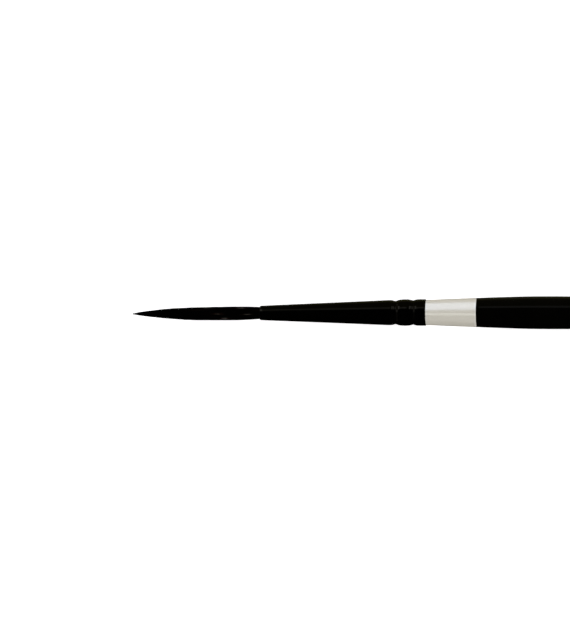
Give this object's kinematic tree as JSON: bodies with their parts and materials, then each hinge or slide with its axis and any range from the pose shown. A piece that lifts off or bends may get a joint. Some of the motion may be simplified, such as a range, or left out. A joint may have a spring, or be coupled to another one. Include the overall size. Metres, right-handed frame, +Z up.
{
  "type": "fine detail brush",
  "caption": "Long-haired pointed round brush with a tapered crimped metal ferrule, a silver ring and a slim black lacquered handle, for fine lines and details.",
  "frame": {"origin": "on the table under the middle of the brush's length, below its axis", "axes": "+X along the brush from the hair tip to the tail of the handle, +Z up from the table"},
  "size_m": [0.195, 0.006, 0.006],
  "materials": {
    "hair": "satin",
    "hair_root": "matte",
    "thread": "matte",
    "root_glue": "gloss",
    "ferrule": "gloss",
    "tenon_glue": "satin",
    "wood": "matte",
    "silver_lacquer": "satin",
    "black_lacquer": "gloss"
  },
  "bodies": {
    "handle": {"handle_core": "wood", "handle_lacquer": "black_lacquer", "silver_band": "silver_lacquer", "ferrule": "ferrule", "tenon_glue": "tenon_glue", "root_glue": "root_glue", "binding_thread": "thread", "hair_root": "hair_root"},
    "tuft_heel": {"hair_heel": "hair"},
    "tuft_belly": {"hair_belly": "hair"},
    "tuft_tip": {"hair_tip": "hair"}
  },
  "joints": [
    {"name": "heel_bend", "type": "hinge", "parent": "handle", "child": "tuft_heel", "pos_m": [-0.07465, 0, 0.00302], "axis": [0, 0, 1], "range_deg": [-30, 30], "stiffness_Nm_per_rad": 0.0003},
    {"name": "belly_bend", "type": "hinge", "parent": "tuft_heel", "child": "tuft_belly", "pos_m": [-0.0819, 0, 0.00302], "axis": [0, 0, 1], "range_deg": [-30, 30], "stiffness_Nm_per_rad": 0.0002},
    {"name": "tip_bend", "type": "hinge", "parent": "tuft_belly", "child": "tuft_tip", "pos_m": [-0.0893, 0, 0.00302], "axis": [0, 0, 1], "range_deg": [-30, 30], "stiffness_Nm_per_rad": 0.00005}
  ]
}
